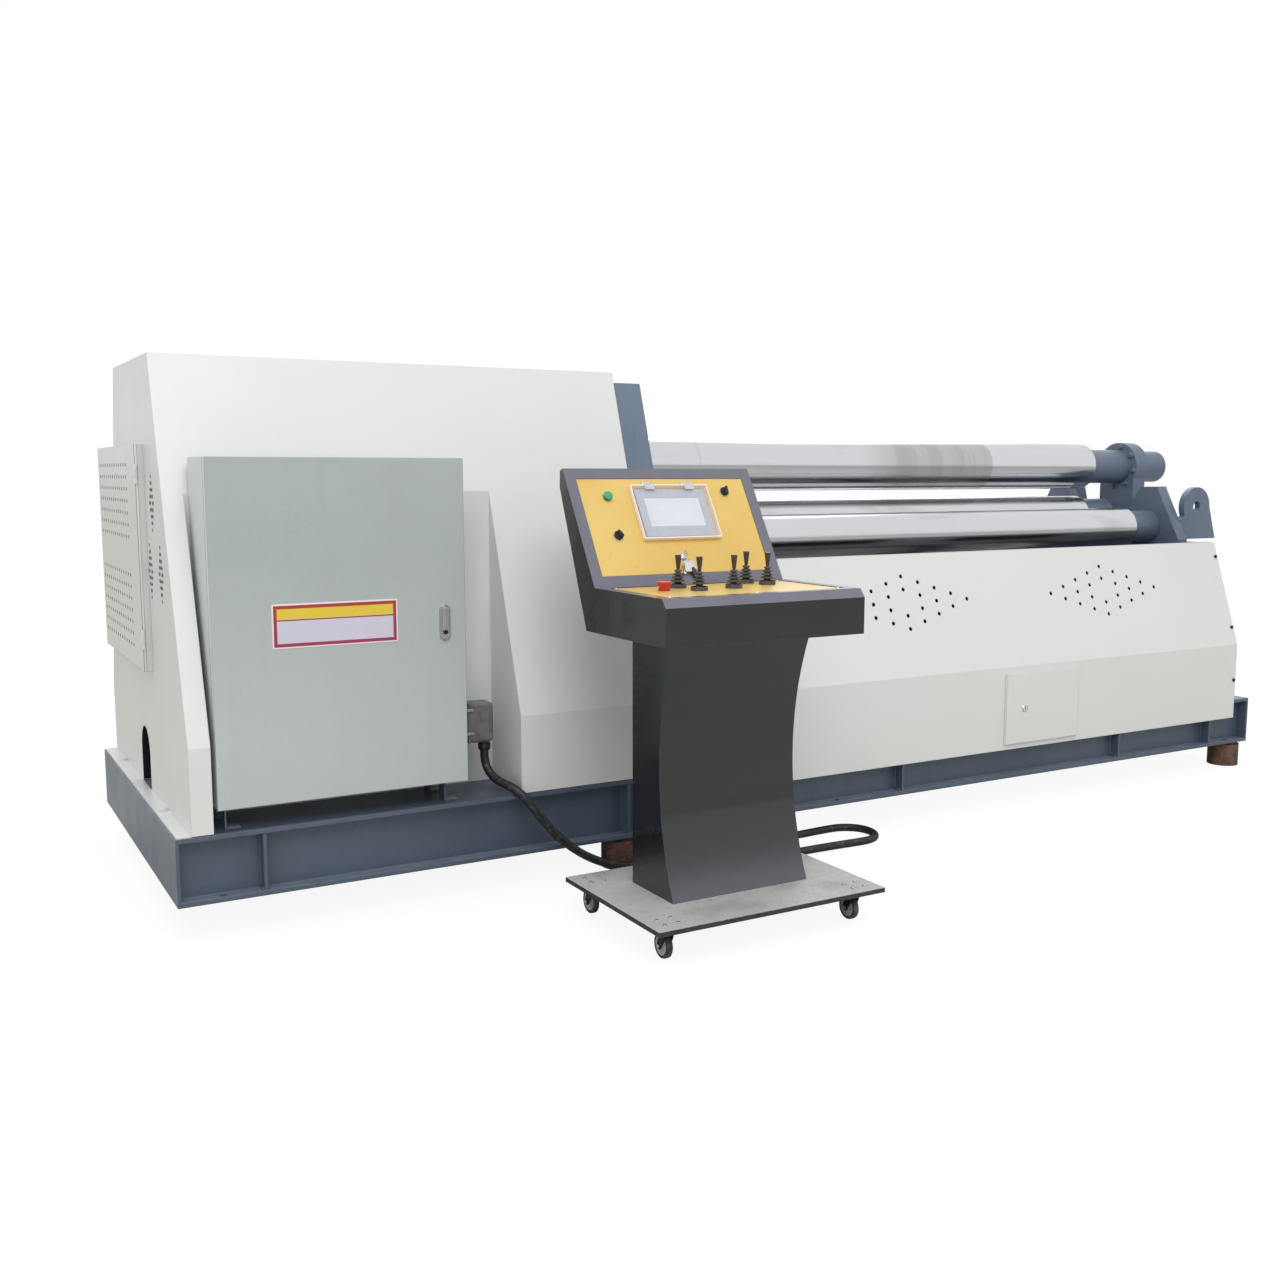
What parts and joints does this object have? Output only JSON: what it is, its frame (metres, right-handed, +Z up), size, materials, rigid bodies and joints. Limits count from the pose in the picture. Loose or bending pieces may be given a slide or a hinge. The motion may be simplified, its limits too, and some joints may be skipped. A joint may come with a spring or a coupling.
{
  "type": "plate rolling machine",
  "caption": "Hydraulic four-roll plate rolling machine: drive housing, long polished rolls, drop end, base frame, electric cabinet and a console on castors joined by one cable.",
  "frame": {"origin": "bottom centre of the whole machine with its console, on the floor", "axes": "+X along the rolls from the drive housing to the drop end, +Y from the console side to the back, +Z up"},
  "size_m": [4.86, 2.243, 1.684],
  "materials": {
    "machine_blue_grey": "satin paint",
    "housing_white": "gloss paint",
    "cabinet_grey": "fine powder coat",
    "polished_steel": "ground and polished",
    "foot_rust": "rusty primer",
    "console_charcoal": "satin powder coat",
    "panel_yellow": "satin print on sheet",
    "floor_plate_steel": "brushed sheet with dark edges",
    "dark_plastic": "moulded",
    "screen_grey": "gloss bezel and display",
    "clear_cover": "clear acrylic",
    "zinc": "zinc plated",
    "connector_grey": "painted die casting",
    "button_green": "gloss",
    "stop_red": "gloss",
    "cable_rubber": "smooth sheath",
    "wheel_rubber": "dark tread with pale hub"
  },
  "bodies": {
    "machine": {"base_front_beam": "machine_blue_grey", "base_rear_beam": "machine_blue_grey", "base_left_end": "machine_blue_grey", "base_right_end": "machine_blue_grey", "base_cross_beams": "machine_blue_grey", "levelling_feet": "foot_rust", "drive_housing": "housing_white", "left_roll_frame": "machine_blue_grey", "right_roll_frame": "machine_blue_grey", "drop_end_cheeks": "machine_blue_grey", "drop_end_pin": "zinc", "support_lugs": "machine_blue_grey", "front_cover": "housing_white", "rear_cover": "housing_white", "end_panels": "housing_white", "cabinet_box": "cabinet_grey", "cabinet_legs": "machine_blue_grey", "cable_connector": "connector_grey", "console_cable": "cable_rubber", "vent_box": "housing_white", "console_plate": "floor_plate_steel", "console_column": "console_charcoal", "console_head": "console_charcoal", "display_panel": "panel_yellow", "desk_panel": "panel_yellow", "touch_screen": "screen_grey", "key_switch": "zinc", "joystick_bases": "dark_plastic"},
    "cabinet_door": {"cabinet_door": "cabinet_grey"},
    "access_door": {"access_door": "housing_white"},
    "perforated_door": {"perforated_door": "housing_white"},
    "top_roll": {"top_roll": "polished_steel"},
    "bottom_lift": {"bottom_roll_bearings": "machine_blue_grey"},
    "bottom_roll": {"bottom_roll": "polished_steel"},
    "front_lift": {"front_roll_bearings": "machine_blue_grey"},
    "front_side_roll": {"front_side_roll": "polished_steel"},
    "rear_lift": {"rear_roll_bearings": "machine_blue_grey"},
    "rear_side_roll": {"rear_side_roll": "polished_steel"},
    "drop_end": {"drop_end": "machine_blue_grey"},
    "screen_cover": {"screen_cover": "clear_cover"},
    "green_button": {"green_button": "button_green"},
    "selector_left": {"selector_left": "dark_plastic"},
    "selector_right": {"selector_right": "dark_plastic"},
    "emergency_stop": {"emergency_stop": "stop_red"},
    "joystick_a": {"joystick_a": "dark_plastic"},
    "joystick_b": {"joystick_b": "dark_plastic"},
    "joystick_c": {"joystick_c": "dark_plastic"},
    "joystick_d": {"joystick_d": "dark_plastic"},
    "joystick_e": {"joystick_e": "dark_plastic"},
    "castor_front_left": {"castor_front_left": "dark_plastic"},
    "wheel_front_left": {"wheel_front_left": "wheel_rubber"},
    "castor_front_right": {"castor_front_right": "dark_plastic"},
    "wheel_front_right": {"wheel_front_right": "wheel_rubber"},
    "castor_rear_left": {"castor_rear_left": "dark_plastic"},
    "wheel_rear_left": {"wheel_rear_left": "wheel_rubber"},
    "castor_rear_right": {"castor_rear_right": "dark_plastic"},
    "wheel_rear_right": {"wheel_rear_right": "wheel_rubber"}
  },
  "joints": [
    {"name": "cabinet_door_hinge", "type": "hinge", "parent": "machine", "child": "cabinet_door", "pos_m": [-2.309, -0.2815, 0.878], "axis": [0, 0, -1], "range_deg": [0, 120]},
    {"name": "access_door_hinge", "type": "hinge", "parent": "machine", "child": "access_door", "pos_m": [1.155, -0.297, 0.395], "axis": [0, 0, 1], "range_deg": [0, 110]},
    {"name": "perforated_door_hinge", "type": "hinge", "parent": "machine", "child": "perforated_door", "pos_m": [-2.407, 0.2195, 1.07], "axis": [0, 0, 1], "range_deg": [0, 110]},
    {"name": "top_roll_turn", "type": "hinge", "parent": "machine", "child": "top_roll", "pos_m": [0.68, 0.4185, 1.365], "axis": [1, 0, 0], "continuous": true},
    {"name": "bottom_roll_lift", "type": "slide", "parent": "machine", "child": "bottom_lift", "axis": [0, 0, 1], "range_m": [0, 0.029]},
    {"name": "bottom_roll_turn", "type": "hinge", "parent": "bottom_lift", "child": "bottom_roll", "pos_m": [0.68, 0.4185, 1.13], "axis": [1, 0, 0], "continuous": true},
    {"name": "front_roll_lift", "type": "slide", "parent": "machine", "child": "front_lift", "axis": [0, 0.5, 0.866], "range_m": [0, 0.18]},
    {"name": "front_roll_turn", "type": "hinge", "parent": "front_lift", "child": "front_side_roll", "pos_m": [0.68, 0.1485, 1.085], "axis": [1, 0, 0], "continuous": true},
    {"name": "rear_roll_lift", "type": "slide", "parent": "machine", "child": "rear_lift", "axis": [0, -0.5, 0.866], "range_m": [0, 0.18]},
    {"name": "rear_roll_turn", "type": "hinge", "parent": "rear_lift", "child": "rear_side_roll", "pos_m": [0.68, 0.6885, 1.085], "axis": [1, 0, 0], "continuous": true},
    {"name": "drop_end_tilt", "type": "hinge", "parent": "machine", "child": "drop_end", "pos_m": [2.19, 0.4185, 0.5], "axis": [0, 1, 0], "range_deg": [0, 70]},
    {"name": "screen_cover_hinge", "type": "hinge", "parent": "machine", "child": "screen_cover", "pos_m": [-0.946, -0.48963, 1.3004], "axis": [-1, 0, 0], "range_deg": [0, 110]},
    {"name": "green_button_press", "type": "slide", "parent": "machine", "child": "green_button", "axis": [0, 0.8599, -0.5105], "range_m": [0, 0.004], "stiffness_N_per_m": 400},
    {"name": "selector_left_turn", "type": "hinge", "parent": "machine", "child": "selector_left", "pos_m": [-1.166, -0.57072, 1.14618], "axis": [0, -0.8599, 0.5105], "range_deg": [-45, 45]},
    {"name": "selector_right_turn", "type": "hinge", "parent": "machine", "child": "selector_right", "pos_m": [-0.738, -0.49517, 1.27344], "axis": [0, -0.8599, 0.5105], "range_deg": [-45, 45]},
    {"name": "emergency_stop_press", "type": "slide", "parent": "machine", "child": "emergency_stop", "axis": [0, 0, -1], "range_m": [0, 0.005], "stiffness_N_per_m": 800},
    {"name": "joystick_a_lever", "type": "hinge", "parent": "machine", "child": "joystick_a", "pos_m": [-1.058, -0.8555, 1.004], "axis": [1, 0, 0], "range_deg": [-15, 15], "stiffness_Nm_per_rad": 0.5},
    {"name": "joystick_b_lever", "type": "hinge", "parent": "machine", "child": "joystick_b", "pos_m": [-0.928, -0.8395, 1.004], "axis": [1, 0, 0], "range_deg": [-15, 15], "stiffness_Nm_per_rad": 0.5},
    {"name": "joystick_c_lever", "type": "hinge", "parent": "machine", "child": "joystick_c", "pos_m": [-0.77, -0.7855, 1.004], "axis": [1, 0, 0], "range_deg": [-15, 15], "stiffness_Nm_per_rad": 0.5},
    {"name": "joystick_d_lever", "type": "hinge", "parent": "machine", "child": "joystick_d", "pos_m": [-1.07, -0.7575, 1.004], "axis": [1, 0, 0], "range_deg": [-15, 15], "stiffness_Nm_per_rad": 0.5},
    {"name": "joystick_e_lever", "type": "hinge", "parent": "machine", "child": "joystick_e", "pos_m": [-0.801, -0.7165, 1.004], "axis": [1, 0, 0], "range_deg": [-15, 15], "stiffness_Nm_per_rad": 0.5},
    {"name": "castor_front_left_swivel", "type": "hinge", "parent": "machine", "child": "castor_front_left", "pos_m": [-1.282, -1.0565, 0.09], "axis": [0, 0, 1], "continuous": true},
    {"name": "wheel_front_left_roll", "type": "hinge", "parent": "castor_front_left", "child": "wheel_front_left", "pos_m": [-1.282, -1.0345, 0.0375], "axis": [1, 0, 0], "continuous": true},
    {"name": "castor_front_right_swivel", "type": "hinge", "parent": "machine", "child": "castor_front_right", "pos_m": [-0.632, -1.0565, 0.09], "axis": [0, 0, 1], "continuous": true},
    {"name": "wheel_front_right_roll", "type": "hinge", "parent": "castor_front_right", "child": "wheel_front_right", "pos_m": [-0.632, -1.0345, 0.0375], "axis": [1, 0, 0], "continuous": true},
    {"name": "castor_rear_left_swivel", "type": "hinge", "parent": "machine", "child": "castor_rear_left", "pos_m": [-1.282, -0.6245, 0.09], "axis": [0, 0, 1], "continuous": true},
    {"name": "wheel_rear_left_roll", "type": "hinge", "parent": "castor_rear_left", "child": "wheel_rear_left", "pos_m": [-1.282, -0.6025, 0.0375], "axis": [1, 0, 0], "continuous": true},
    {"name": "castor_rear_right_swivel", "type": "hinge", "parent": "machine", "child": "castor_rear_right", "pos_m": [-0.632, -0.6245, 0.09], "axis": [0, 0, 1], "continuous": true},
    {"name": "wheel_rear_right_roll", "type": "hinge", "parent": "castor_rear_right", "child": "wheel_rear_right", "pos_m": [-0.632, -0.6025, 0.0375], "axis": [1, 0, 0], "continuous": true}
  ]
}
